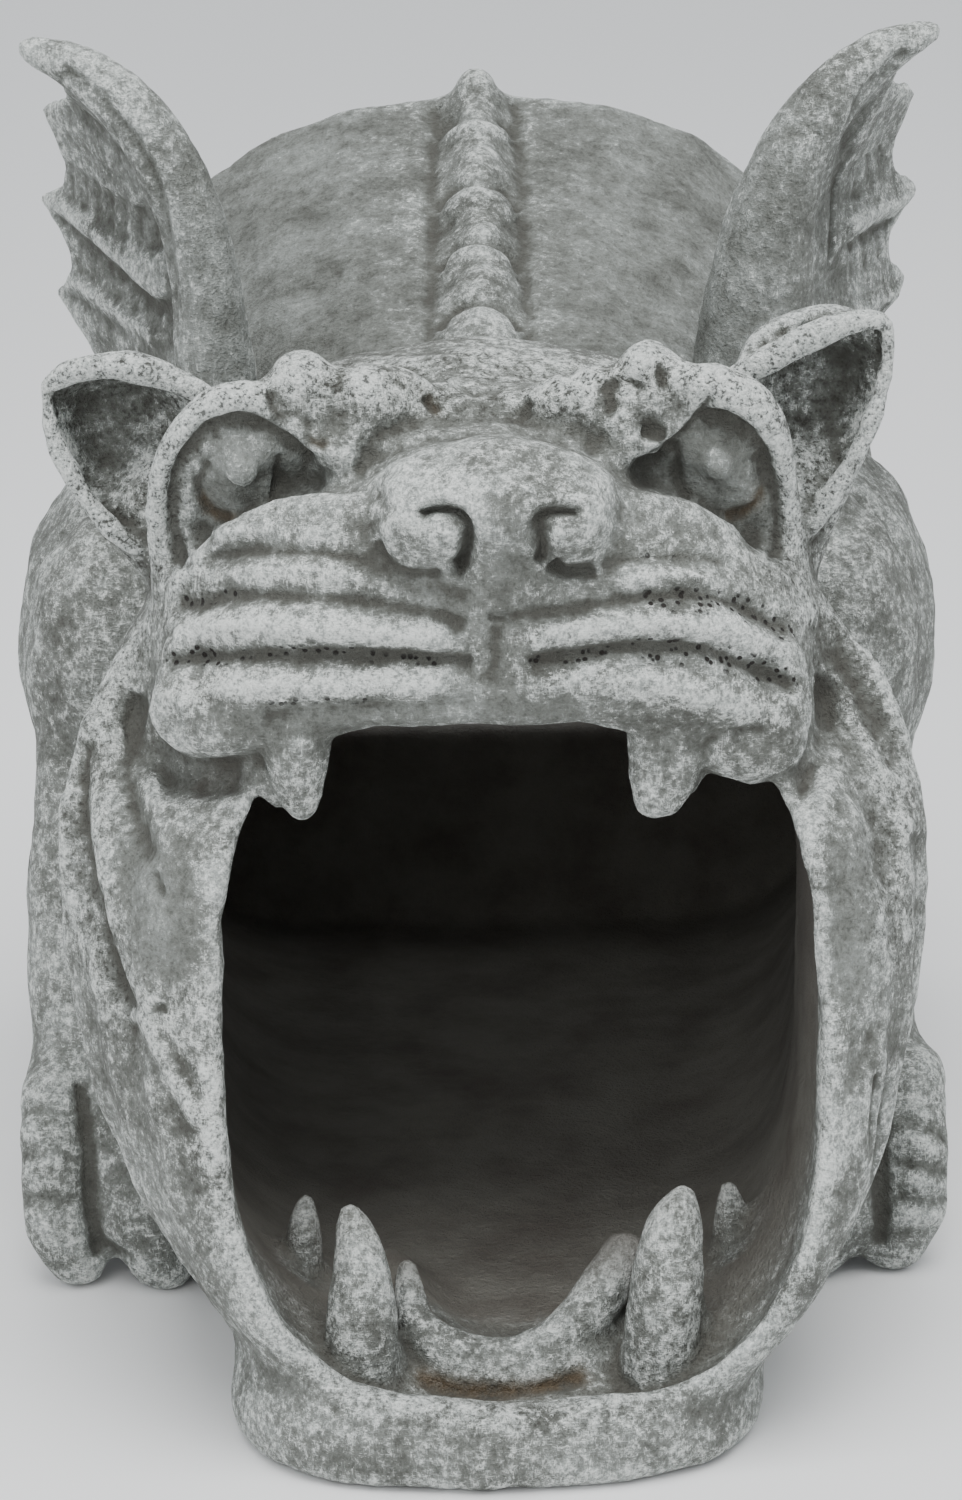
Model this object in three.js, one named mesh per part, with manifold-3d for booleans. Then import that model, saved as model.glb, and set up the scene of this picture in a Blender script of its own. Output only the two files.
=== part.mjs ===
// A cast-stone gargoyle that crouches at the foot of a rainwater pipe. The pipe's last length
// enters through the inlet in its back, and the water runs out between its jaws. It is one
// casting: a hollow, barrel-shaped body with a spined back, a gaping head, two raised bat wings
// and four clawed feet.
//
// Millimetres, +Z up, the face towards -Y. Everything is laid out from the front of the chin
// (y = 0) back to the flat rear face (y = LENGTH), with z = 0 on the ground, and is centred on
// the origin at the very end.

import * as THREE from 'three';
import { LoftGeometry } from 'three/addons/geometries/LoftGeometry.js';
import { mergeVertices } from 'three/addons/utils/BufferGeometryUtils.js';
import Module from 'manifold-3d';

const wasm = await Module();
wasm.setup();

// Driving dimensions.
const LENGTH = 330; // chin to rear face
const MOUTH_HALF = 62.5; // half the width between the jaws
const MOUTH_SILL = 19; // height of the lower lip's inner edge
const LIP_EDGE = 157; // height of the upper lip's lower edge
const LEAN = 0.18; // how far the mouth's plane leans back, per millimetre of height
const EYE_HEIGHT = 208;
const WALL = 10;

// The mould was made by hand: the jaws sit a little to one side of the head, and the nose, the
// chin and the body by less.
const JAW_SHIFT = 5.5;
const NOSE_SHIFT = 2.6;
const CHIN_SHIFT = 0.6;
const BODY_SHIFT = 2.5;

const STONE = new THREE.MeshStandardMaterial( { color: 0x8f9491, roughness: 0.92, metalness: 0 } );

const { sin, cos, abs, sign, pow, PI } = Math;
const vec = ( x = 0, y = 0, z = 0 ) => new THREE.Vector3( x, y, z );
const radians = THREE.MathUtils.degToRad;
const smooth = THREE.MathUtils.smoothstep;
const bothSides = ( make ) => [ - 1, 1 ].flatMap( ( side ) => make( side ) );
const ACROSS = vec( 1, 0, 0 );
const BACKWARD = vec( 0, 1, 0 );
const UPWARD = vec( 0, 0, 1 );

// ---------------------------------------------------------------- shaping tools

// A closed geometry as a solid that can be joined and cut.
function solid( geometry ) {

	const bare = new THREE.BufferGeometry().setAttribute( 'position', geometry.attributes.position );
	const merged = mergeVertices( bare.setIndex( geometry.index ), 1e-3 );
	const corners = merged.index.array;
	const kept = [];
	for ( let i = 0; i < corners.length; i += 3 ) {

		const [ a, b, c ] = corners.slice( i, i + 3 );
		if ( a !== b && b !== c && c !== a ) kept.push( a, b, c );

	}

	const build = ( triVerts ) => new wasm.Manifold( new wasm.Mesh( {
		numProp: 3,
		vertProperties: merged.attributes.position.array,
		triVerts: new Uint32Array( triVerts )
	} ) );
	const made = build( kept );
	return made.volume() > 0 ? made : build( kept.reverse() );

}

// A skin through a row of rings. Its first and last rings are each drawn together to a point,
// unless they have been closed already.
function loft( rings, drawEnds = true ) {

	const point = ( ring ) => {

		const middle = ring.reduce( ( sum, p ) => sum.add( p ), vec() ).divideScalar( ring.length );
		return ring.map( () => middle.clone() );

	};

	const closed = drawEnds ? [ point( rings[ 0 ] ), ...rings, point( rings.at( - 1 ) ) ] : rings;
	return solid( new LoftGeometry( closed ) );

}

const joined = ( solids ) => solids.reduce( ( whole, piece ) => whole.add( piece ) );

// A smooth curve y(x) through [x, y] pairs, without overshoot.
function profile( pairs ) {

	const last = pairs.length - 1;
	const slope = ( i ) => {

		const [ [ x0, y0 ], [ x1, y1 ] ] = [ pairs[ i ], pairs[ i + 1 ] ];
		return ( y1 - y0 ) / ( x1 - x0 );

	};

	const tangent = ( i ) => {

		if ( i === 0 ) return slope( 0 );
		if ( i === last ) return slope( last - 1 );
		const before = slope( i - 1 ), after = slope( i );
		return before * after <= 0 ? 0 : 2 * before * after / ( before + after );

	};

	return ( x ) => {

		if ( x <= pairs[ 0 ][ 0 ] ) return pairs[ 0 ][ 1 ];
		if ( x >= pairs[ last ][ 0 ] ) return pairs[ last ][ 1 ];
		const i = pairs.findIndex( ( pair, k ) => k < last && x < pairs[ k + 1 ][ 0 ] );
		const [ [ x0, y0 ], [ x1, y1 ] ] = [ pairs[ i ], pairs[ i + 1 ] ];
		const t = ( x - x0 ) / ( x1 - x0 );
		return y0 * ( 1 + 2 * t ) * ( 1 - t ) ** 2 + tangent( i ) * ( x1 - x0 ) * t * ( 1 - t ) ** 2
			+ y1 * t * t * ( 3 - 2 * t ) - tangent( i + 1 ) * ( x1 - x0 ) * t * t * ( 1 - t );

	};

}

// An ellipsoid, turned by degrees about x, y and z.
function ball( x, y, z, radii, turn = [ 0, 0, 0 ], around = 9, down = 6 ) {

	const shape = new THREE.SphereGeometry( 1, around, down );
	shape.scale( ...radii );
	shape.rotateX( radians( turn[ 0 ] ) );
	shape.rotateY( radians( turn[ 1 ] ) );
	shape.rotateZ( radians( turn[ 2 ] ) );
	shape.translate( x, y, z );
	return solid( shape );

}

// A round-ended limb along a smooth path. Each stop is [x, y, z, radius, flatness]: flatness
// scales the radius along `across`, the direction in which a limb may be thinner than it is wide.
function limb( stops, { across = BACKWARD, sides = 6, steps = 3 * ( stops.length - 1 ) } = {} ) {

	const middles = stops.map( ( [ x, y, z ] ) => vec( x, y, z ) );
	const widths = stops.map( ( stop ) => vec( stop[ 3 ], stop[ 4 ] ?? 1, 0 ) );
	const path = new THREE.CatmullRomCurve3( middles, false, 'centripetal' );
	const sizes = new THREE.CatmullRomCurve3( widths, false, 'catmullrom', 0.3 );
	const ring = ( t, shift, shrink ) => {

		const along = path.getTangent( t );
		const side = vec().crossVectors( along, across ).normalize();
		const flat = vec().crossVectors( side, along ).normalize();
		const size = sizes.getPoint( t );
		const middle = path.getPoint( t ).addScaledVector( along, shift * size.x );
		return Array.from( { length: sides }, ( _, k ) => {

			const turn = 2 * PI * k / sides;
			return middle.clone()
				.addScaledVector( side, size.x * shrink * cos( turn ) )
				.addScaledVector( flat, size.x * size.y * shrink * sin( turn ) );

		} );

	};

	const DOME = radians( 55 );
	return loft( [
		ring( 0, - sin( DOME ), cos( DOME ) ),
		...Array.from( { length: steps + 1 }, ( _, i ) => ring( i / steps, 0, 1 ) ),
		ring( 1, sin( DOME ), cos( DOME ) )
	] );

}

// A tooth from its root to its tip. `blunt` is the tip's radius as a share of the root's.
function fang( root, tip, radius, blunt = 0.25 ) {

	const FLATNESS = 0.8;
	const stop = ( t, width ) => [ ...root.map( ( r, i ) => r + ( tip[ i ] - r ) * t ), width, FLATNESS ];
	return limb( [
		stop( 0, radius ),
		stop( 0.45, radius * 0.95 ),
		stop( 0.8, radius * ( 0.4 + 0.6 * blunt ) ),
		stop( 0.97, radius * blunt )
	], { steps: 3 } );

}

// One cross-section of the body or its hollow: a rounded outline with its own curve above and
// below its widest height, in a plane that leans back by `lean`.
function outline( { y, lean, half, widest, top, bottom, above, below, swell = () => 0 }, points ) {

	return Array.from( { length: points }, ( _, k ) => {

		const turn = 2 * PI * k / points;
		const c = cos( turn ), s = sin( turn );
		const power = 2 / ( c >= 0 ? above : below );
		const x = half * sign( s ) * pow( abs( s ), power );
		const reach = c >= 0 ? top - widest : widest - bottom;
		const z = widest + reach * sign( c ) * pow( abs( c ), power );
		const grown = 1 + swell( x, z ) / half;
		return vec( x * grown, y + lean * z, widest + ( z - widest ) * grown );

	} );

}

// ---------------------------------------------------------------- body and hollow

const bodyShift = ( y ) => JAW_SHIFT * ( 1 - smooth( y, 15, 80 ) ) + BODY_SHIFT * smooth( y, 100, 165 );

// The barrel's cross-section at each distance from the chin.
const bodyHalf = profile( [ [ 6, 62 ], [ 8, 68 ], [ 12, 72.5 ], [ 20, 77 ], [ 42, 88.5 ], [ 60, 94 ],
	[ 90, 87 ], [ 115, 82 ], [ 150, 80 ], [ 200, 86 ], [ 300, 102 ], [ 330, 106 ] ] );
const bodyWidest = profile( [ [ 6, 95 ], [ 30, 102 ], [ 55, 118 ], [ 90, 108 ], [ 130, 92 ],
	[ 200, 98 ], [ 330, 120 ] ] );
const bodyTop = profile( [ [ 6, 162 ], [ 30, 180 ], [ 60, 200 ], [ 90, 208 ], [ 120, 203 ],
	[ 160, 196 ], [ 195, 199 ], [ 230, 211 ], [ 270, 225 ], [ 305, 237 ], [ 330, 244 ] ] );
const bodyBottom = profile( [ [ 6, 13 ], [ 12, 8 ], [ 25, 1 ], [ 45, - 8 ], [ 60, - 12 ], [ 330, - 14 ] ] );
const bodyAbove = profile( [ [ 6, 3 ], [ 60, 2.2 ], [ 130, 2.3 ], [ 330, 2.5 ] ] );
const bodyBelow = profile( [ [ 6, 2.8 ], [ 40, 2.2 ], [ 75, 2 ], [ 130, 4 ], [ 330, 5 ] ] );
const bodyLean = profile( [ [ 6, LEAN ], [ 60, 0.1 ], [ 110, 0 ], [ 330, 0 ] ] );

// Above the corners of the mouth the rim falls back, so that the upper lip stands out over it.
const RIM_BREAK = 128, RIM_RISE = 36, RIM_FALL = 26;

function rimFall( y, z ) {

	return RIM_FALL * smooth( z, RIM_BREAK, RIM_BREAK + RIM_RISE ) * ( 1 - smooth( y, 10, 70 ) );

}

// The skin stretched round the jaws lies in folds: ridges that run parallel to the mouth's rim.
const FOLD_FIRST = 12, FOLD_LAST = 63, FOLD_COUNT = 3, FOLD_HEIGHT = 4.4, FOLD_STEPS = 4;

function foldSwell( y ) {

	const t = ( y - FOLD_FIRST ) / ( FOLD_LAST - FOLD_FIRST );
	if ( t < 0 || t > 1 ) return () => 0;
	const wave = - 0.5 * FOLD_HEIGHT * cos( 2 * PI * FOLD_COUNT * t );
	return ( x, z ) => wave * smooth( z, 22, 60 ) * smooth( abs( x ), 30, 60 );

}

function barrel() {

	const folds = Array.from( { length: FOLD_COUNT * FOLD_STEPS + 1 }, ( _, i ) =>
		FOLD_FIRST + ( FOLD_LAST - FOLD_FIRST ) * i / ( FOLD_COUNT * FOLD_STEPS ) );
	const stations = [ 6, 7.5, ...folds, 76, 98, 130, 180, 240, LENGTH ];
	return loft( stations.map( ( y ) => outline( {
		y,
		lean: bodyLean( y ),
		half: bodyHalf( y ),
		widest: bodyWidest( y ),
		top: bodyTop( y ),
		bottom: bodyBottom( y ),
		above: bodyAbove( y ),
		below: bodyBelow( y ),
		swell: foldSwell( y )
	}, 26 ).map( ( p ) => p.add( vec( bodyShift( y ), rimFall( y, p.z ), 0 ) ) ) ) );

}

// The hollow runs from the mouth to a closed rear wall. Its floor drops just behind the lip, as
// a gutter, and rises again behind the gum.
const HOLLOW_SHIFT = 1.2;
const hollowTop = profile( [ [ 0, LIP_EDGE + 1 ], [ 40, LIP_EDGE + 1 ], [ 75, 174 ], [ 120, 184 ],
	[ 170, 183 ], [ 230, 197 ], [ 300, 223 ], [ 320, 230 ] ] );
const hollowBottom = profile( [ [ 5, MOUTH_SILL ], [ 8, MOUTH_SILL - 1 ], [ 14, 11 ], [ 26, 11 ],
	[ 36, 17 ], [ 320, 16 ] ] );
const hollowHalf = profile( [ [ 5, MOUTH_HALF ], [ 12, MOUTH_HALF ], [ 45, 67 ], [ 120, 70 ],
	[ 200, 75 ], [ 320, 92 ] ] );
const hollowBelow = profile( [ [ 5, 3 ], [ 40, 3 ], [ 140, 4.5 ], [ 320, 5 ] ] );

function hollow() {

	const stations = [ - 12, 5, 9, 14, 26, 38, 60, 100, 150, 220, LENGTH - WALL ];
	return loft( stations.map( ( y ) => outline( {
		y,
		lean: LEAN * ( 1 - smooth( y, 60, 160 ) ),
		half: hollowHalf( y ),
		widest: y < 60 ? 95 : 100,
		top: hollowTop( y ),
		bottom: hollowBottom( y ),
		above: 3.2,
		below: hollowBelow( y )
	}, 24 ).map( ( p ) => p.add( vec( bodyShift( y ) + HOLLOW_SHIFT, 0, 0 ) ) ) ) );

}

// The opening in the rear wall takes the pipe. Its sill stands above the floor, so that no water
// runs back.
const INLET_HALF = 58, INLET_SILL = 72, INLET_TOP = 202, INLET_CORNER = 16;

function inlet() {

	const shape = new THREE.Shape();
	const inner = INLET_HALF - INLET_CORNER;
	const low = INLET_SILL + INLET_CORNER;
	const high = INLET_TOP - INLET_CORNER;
	shape.absarc( inner, high, INLET_CORNER, 0, PI / 2 );
	shape.absarc( - inner, high, INLET_CORNER, PI / 2, PI );
	shape.absarc( - inner, low, INLET_CORNER, PI, 1.5 * PI );
	shape.absarc( inner, low, INLET_CORNER, 1.5 * PI, 2 * PI );
	const cut = new THREE.ExtrudeGeometry( shape, { depth: 4 * WALL, bevelEnabled: false, curveSegments: 4 } );
	cut.rotateX( PI / 2 );
	cut.translate( BODY_SHIFT, LENGTH + WALL, 0 );
	return solid( cut );

}

// The pad under the lower jaw, on which the head rests. Its corners are round and set back.
const CHIN_HALF = 58, CHIN_DEPTH = 90, CHIN_HEIGHT = 20, CHIN_BOW = 9, CHIN_CORNER = 0.56;

function chin() {

	const rise = [ [ - 3, - 7 ], [ 0, 3 ], [ 0, 12 ], [ - 4, CHIN_HEIGHT ], [ - 12, CHIN_HEIGHT + 4 ] ];
	const POINTS = 22;
	return loft( rise.map( ( [ grow, z ] ) => Array.from( { length: POINTS }, ( _, k ) => {

		const turn = 2 * PI * k / POINTS;
		const x = ( CHIN_HALF + grow ) * sign( sin( turn ) ) * pow( abs( sin( turn ) ), CHIN_CORNER );
		const y = ( CHIN_DEPTH / 2 + grow ) * sign( cos( turn ) ) * pow( abs( cos( turn ) ), CHIN_CORNER );
		const bow = CHIN_BOW * ( x / CHIN_HALF ) ** 2 * smooth( - y, 0, 30 );
		return vec( CHIN_SHIFT + x, CHIN_DEPTH / 2 + y + bow, z );

	} ) ) );

}

// A row of knuckled vertebrae up the middle of the back. They shrink towards the rear, and the
// last one is raised.
const SPINE_FIRST = 108, SPINE_LAST = 322, SPINE_COUNT = 12;
const KNUCKLE = 9.4, KNUCKLE_GAP = 6.6, SPINE_TAPER = 0.24, SPINE_RISE = 0.5, KNOB_RISE = 4;

function spine() {

	const gaps = 2 * SPINE_COUNT - 2;
	const stops = Array.from( { length: gaps + 1 }, ( _, i ) => {

		const t = i / gaps;
		const y = SPINE_FIRST + ( SPINE_LAST - SPINE_FIRST ) * t;
		const radius = ( i % 2 ? KNUCKLE_GAP : KNUCKLE ) * ( 1 - SPINE_TAPER * t );
		return [ bodyShift( y ), y, bodyTop( y ) + ( t === 1 ? KNOB_RISE : SPINE_RISE ), radius ];

	} );
	return limb( stops, { across: ACROSS, steps: gaps } );

}

// ---------------------------------------------------------------- head

// The upper jaw is modelled across the face, from one corner of the lip to the other. Its front
// carries the wrinkled upper lip: heavy rolls that run along the muzzle and droop at its corners.
const JAW_HALF = 73.5, JAW_OFFSET = 1, LIP_FRONT = 33, LIP_DROOP = 13, ROLL_DEPTH = 3;
const MUZZLE_TOP = 205, MUZZLE_SLOPE = 16, MUZZLE_BACK = 100;

// Height of each crease up the lip, as a share of the lip's height, along x.
const creases = [
	[ [ 0, 0.28 ], [ 31, 0.35 ], [ 70, 0.42 ] ],
	[ [ 0, 0.44 ], [ 31, 0.59 ], [ 70, 0.66 ] ],
	[ [ 0, 0.6 ], [ 21, 0.73 ], [ 70, 0.86 ] ]
].map( profile );

function rollBulge( x, q ) {

	const ends = [ - 0.04, ...creases.map( ( crease ) => crease( abs( x ) ) ), 1.05 ];
	const i = ends.findIndex( ( end, k ) => q >= end && q < ends[ k + 1 ] );
	const t = ( q - ends[ i ] ) / ( ends[ i + 1 ] - ends[ i ] );
	return ROLL_DEPTH * pow( sin( PI * t ), 0.7 );

}

function upperJaw() {

	const STEPS = 17, FRONT_POINTS = 12;
	const rings = Array.from( { length: STEPS + 1 }, ( _, i ) => {

		const across = sin( ( i / STEPS - 0.5 ) * PI * 0.985 );
		const x = JAW_HALF * across;
		const reach = pow( 1 - pow( abs( across ), 7 ), 0.5 );
		const philtrum = 2 * ( 1 - smooth( abs( x ), 0, 8 ) );
		const front = LIP_FRONT + 12 * pow( abs( across ), 3 ) + philtrum;
		const low = LIP_EDGE - LIP_DROOP * smooth( abs( x ), 42, 64 );
		const high = MUZZLE_TOP - MUZZLE_SLOPE * smooth( abs( x ), 24, 66 );
		const middle = 0.6 * low + 0.4 * high;
		const at = ( y, z ) => vec(
			JAW_OFFSET + x,
			MUZZLE_BACK + ( y - MUZZLE_BACK ) * ( 0.3 + 0.7 * reach ),
			middle + ( z - middle ) * reach
		);
		const face = Array.from( { length: FRONT_POINTS }, ( _, k ) => {

			const q = k / ( FRONT_POINTS - 1 );
			const setBack = 4 * ( 1 - q ) ** 6 + 3 * q + 13 * pow( q, 4 );
			return at( front + setBack - rollBulge( x, q ), low + ( high - low ) * q );

		} );
		return [
			...face,
			at( front + 30, high ),
			at( MUZZLE_BACK, high ),
			at( MUZZLE_BACK, LIP_EDGE + 10 ),
			at( front + 13, low + 1 )
		];

	} );
	return loft( rings );

}

// A broad nose pad with a rounded wing over each nostril, and the bridge that runs up between
// the brows.
function nose() {

	return [
		ball( NOSE_SHIFT, 48, 203, [ 24, 22, 14.5 ], [ - 6, 0, 0 ] ),
		ball( NOSE_SHIFT / 2, 76, 203, [ 25, 32, 13 ], [ 3, 0, 0 ] ),
		ball( NOSE_SHIFT, 44, 188, [ 16, 12, 15 ] ),
		...bothSides( ( side ) => [
			ball( NOSE_SHIFT + side * 15.5, 46, 201.5, [ 12, 17.5, 12.5 ], [ - 6, 0, 0 ] )
		] )
	];

}

// The nostrils are curled grooves, open towards the cheek.
const NOSTRIL_OUT = 15.2, NOSTRIL_HIGH = 199, NOSTRIL_CURL = 6.4, NOSTRIL_FRONT = 28;

function nostrils() {

	return bothSides( ( side ) => [
		limb( [ - 105, - 60, - 15, 30, 75, 120 ].map( ( angle ) => [
			NOSE_SHIFT + side * ( NOSTRIL_OUT - NOSTRIL_CURL * cos( radians( angle ) ) ),
			NOSTRIL_FRONT,
			NOSTRIL_HIGH + NOSTRIL_CURL * sin( radians( angle ) ),
			angle > 90 ? 1.5 : 2.6
		] ), { sides: 5, steps: 6 } )
	] );

}

// Each brow is a thick fold that hoods the outside of the eye, and a knobbed ridge above its
// inner corner.
function brows() {

	return bothSides( ( side ) => [
		limb( [
			[ side * 67, 80, 166, 4 ],
			[ side * 66, 74, 180, 5 ],
			[ side * 64.5, 71, 196, 5.2 ],
			[ side * 60, 69, 210, 5.5 ],
			[ side * 51, 68, 219.5, 5.6 ],
			[ side * 42, 69, 219, 6 ]
		], { steps: 8 } ),
		ball( side * 36, 69, 224, [ 8, 8, 8 ], [ 0, 0, 0 ], 7, 6 ),
		ball( side * 21, 69, 216, [ 12.5, 10, 10.5 ] ),
		limb( [ [ side * 41, 70, 218, 6 ], [ side * 33, 65, 210, 5.6 ], [ side * 23, 64, 212, 7 ] ], { steps: 4 } )
	] );

}

// Round eyes with a raised pupil, each in a lower lid, with a bag of cheek below. One eye sits a
// little higher than the other.
const EYE_OUT = 50, EYE_TILT = 1.5, PUPIL_RISE = 1;

function eyes() {

	return bothSides( ( side ) => [
		ball( side * EYE_OUT, 74, EYE_HEIGHT - side * EYE_TILT, [ 13.5, 14, 13 ] ),
		ball( side * EYE_OUT, 60.5, EYE_HEIGHT + PUPIL_RISE - side * EYE_TILT, [ 3.4, 2.4, 3.4 ],
			[ 0, 0, 0 ], 6, 4 ),
		limb( [
			[ side * 63, 72, 199, 3 ],
			[ side * 57, 67, 194.5, 3 ],
			[ side * 46, 65, 195, 3 ],
			[ side * 37, 66, 201, 3 ]
		], { steps: 4 } ),
		ball( side * 59, 80, 184, [ 12, 14, 14 ], [ 0, 0, 0 ], 8, 6 )
	] );

}

// A pricked ear: a rounded triangular cup, open to the front, on a fleshy root. One is broader
// and the other is taller.
const EAR_FOOT = 177;
const earRim = [ [ 94, 93, 221.5 ], [ 93, 94, 208 ], [ 89, 93, 195 ], [ 81, 91, 185 ], [ 72, 88, 177.5 ],
	[ 61, 86, 187 ], [ 55, 84, 205 ], [ 59, 86, 220 ], [ 70, 89, 225.5 ], [ 82, 91.5, 226.3 ] ];

function ear( side, broad, tall ) {

	const place = ( [ x, y, z ] ) => vec( side * x * broad, y, EAR_FOOT + ( z - EAR_FOOT ) * tall );
	const edge = new THREE.CatmullRomCurve3( earRim.map( place ), true, 'catmullrom', 0.35 );
	const middle = place( [ 73, 92, 205 ] );
	const ring = ( scale, back ) => edge.getPoints( 13 ).slice( 0, - 1 ).map( ( p ) =>
		p.sub( middle ).multiplyScalar( scale ).add( middle ).add( vec( 0, back, 0 ) ) );
	const cup = [ ring( 0.6, 10 ), ring( 0.8, 2 ), ring( 0.93, - 2 ) ];
	const back = [ ring( 1, 1 ), ring( 0.97, 7 ), ring( 0.78, 15 ), ring( 0.4, 20 ) ];
	return [
		loft( [ ...cup, ...back ] ),
		ball( side * 66, 98, 186, [ 14, 12, 20 ], [ 0, side * 20, 0 ], 7, 5 )
	];

}

function skull() {

	return [
		ball( 0, 103, 188, [ 63, 42, 38 ], [ 0, 0, 0 ], 12, 7 ),
		ball( 0, 76, 202, [ 40, 26, 21 ] ),
		...ear( - 1, 1, 1 ),
		...ear( 1, 0.955, 1.16 )
	];

}

// Two fangs hang from the upper lip, each with a small one beside it. A big tooth and a small
// one stand on each side of the lower jaw, and a low curved gum joins the big ones.
function teeth() {

	return [
		fang( [ - 38.5, 47, 162 ], [ - 37.5, 43, 137 ], 8.4 ),
		fang( [ 41, 47, 162 ], [ 35.5, 43, 137 ], 10, 0.35 ),
		...bothSides( ( side ) => [
			fang( [ side * 49, 54, 158 ], [ side * 46, 52, 144 ], 5.5, 0.4 ),
			fang( [ JAW_SHIFT + side * 32, 31, 8 ], [ JAW_SHIFT + side * 35, 37, 50 ], 8.6, 0.42 ),
			fang( [ JAW_SHIFT + side * 47, 66, 8 ], [ JAW_SHIFT + side * 46.5, 70, 43 ], 6.2, 0.42 )
		] )
	];

}

const GUM_RADIUS = 8;

function gum() {

	const half = [ [ 29, 74, 20 ], [ 24, 54, 18 ], [ 15, 38, 15 ] ];
	const stop = ( side ) => ( [ x, y, z ] ) => [ JAW_SHIFT + side * x, y, z, GUM_RADIUS ];
	const stops = [
		...half.map( stop( - 1 ) ),
		[ JAW_SHIFT, 31, 13, GUM_RADIUS ],
		...half.toReversed().map( stop( 1 ) )
	];
	return limb( stops, { across: UPWARD, steps: 8 } );

}

// ---------------------------------------------------------------- wings

// Stops up one wing's leading bone, from the shoulder to the tip: x, y, z and radius.
const boneStops = [ [ 64, 188, 160, 15 ], [ 62, 173, 188, 12 ], [ 62.5, 167, 210, 9.8 ],
	[ 64, 167, 231, 9 ], [ 69.5, 168, 250, 8.6 ], [ 77, 170, 263, 8 ], [ 88, 174, 273.5, 6.8 ],
	[ 104, 179, 279, 4.2 ] ];

// One bone is broader than the other at its foot.
const BROAD_BONE = 0.55, BONE_DEPTH = 1.1;

function wingBone( side ) {

	return limb( boneStops.map( ( [ x, y, z, radius ] ) => {

		const extra = side > 0 ? BROAD_BONE * ( 1 - smooth( z, 205, 270 ) ) : 0;
		const out = x + 0.1 * extra * radius;
		return [ BODY_SHIFT + side * out, y + extra * radius, z, radius * ( 1 + extra ), BONE_DEPTH ];

	} ), { sides: 8, steps: 8 } );

}

// The wing's skin is stretched over ribs from the bone to its free edge. Each rib ends in a
// point, and the skin hangs back between them.
const ribRoots = [ [ 94, 177, 274 ], [ 66, 170, 240 ], [ 63, 170, 221 ], [ 63, 174, 203 ],
	[ 66, 186, 168 ] ];
const ribTips = [ [ 100, 188, 275 ], [ 107, 238, 258 ], [ 109, 248, 233 ], [ 106, 248, 210 ],
	[ 92, 240, 170 ] ];
const SKIN_HALF = 2.4, RIB_HALF = 4, SCALLOP = 0.19, SAG = 2.5, PANEL_ROWS = 3;

function wingSkin( side ) {

	const [ roots, tips ] = [ ribRoots, ribTips ].map( ( ends ) =>
		new THREE.CatmullRomCurve3( ends.map( ( p ) => vec( ...p ) ), false, 'centripetal' ) );
	const rows = ( ribTips.length - 1 ) * PANEL_ROWS;
	const section = ( reach, thin ) => {

		const points = Array.from( { length: rows + 1 }, ( _, k ) => {

			const between = abs( sin( PI * k / PANEL_ROWS ) );
			const root = roots.getPoint( k / rows ), tip = tips.getPoint( k / rows );
			const skin = root.clone().lerp( tip, reach * ( 1 - SCALLOP * pow( between, 0.8 ) * reach ) );
			skin.x -= SAG * between * sin( PI * reach );
			return { skin, half: thin * ( RIB_HALF + ( SKIN_HALF - RIB_HALF ) * between ) };

		} );
		const face = ( way ) => points.map( ( { skin, half } ) =>
			vec( BODY_SHIFT + side * ( skin.x + way * half ), skin.y, skin.z ) );
		return [ ...face( 1 ), ...face( - 1 ).toReversed() ];

	};

	const thinning = [ [ - 0.08, 0 ], [ - 0.06, 1 ], [ 0.45, 1 ], [ 0.85, 0.9 ], [ 0.98, 0.7 ], [ 1, 0 ] ];
	return loft( thinning.map( ( [ reach, thin ] ) => section( reach, thin ) ), false );

}

const wings = () => bothSides( ( side ) => [ wingBone( side ), wingSkin( side ) ] );

// ---------------------------------------------------------------- legs

// A finger of the paw: it comes forward from the back of the paw and bends straight down to a
// blunt claw.
function finger( side, x, y, size ) {

	return limb( [
		[ side * x, y + 24, 38, 10.5 * size ],
		[ side * x, y + 11, 42, 9.6 * size ],
		[ side * x, y + 3, 30, 9.6 * size ],
		[ side * x, y, 14, 9.2 * size ],
		[ side * ( x - 5 ), y - 1, 3, 7.5 * size ]
	], { across: ACROSS, sides: 7, steps: 4 } );

}

// The foreleg stands in fleshy lobes on a broad paw. One foreleg is set closer in than the other.
const FORELEG_INSET = 6, LEG_FLATNESS = 0.8;
const lobes = [ [ 91, 175, 112, 20 ], [ 93, 167, 97, 18 ], [ 93.5, 162, 82, 20.5 ], [ 94, 158, 74, 18.2 ],
	[ 94, 155, 64, 20 ], [ 94, 152, 55, 18.2 ], [ 92, 147, 40, 21 ] ];

function foreleg( side ) {

	const inset = side > 0 ? FORELEG_INSET : 0;
	const arm = lobes.map( ( [ x, y, z, radius ] ) => [ side * ( x - inset ), y, z, radius, LEG_FLATNESS ] );
	return [
		ball( side * ( 86 - inset / 2 ), 184, 130, [ 24, 30, 42 ], [ 12, 0, 0 ] ),
		limb( arm, { across: ACROSS, sides: 7, steps: 8 } ),
		ball( side * ( 90 - inset / 2 ), 146, 25, [ 20, 30, 26 ] ),
		finger( side, 100.5 - inset / 3, 119, 1 ),
		finger( side, 80, 116, 1.05 )
	];

}

// The hind leg is folded: a heavy thigh, a shin that runs back to the heel, and a long foot with
// three toes.
const TOE_GAP = 10.5;

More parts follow.
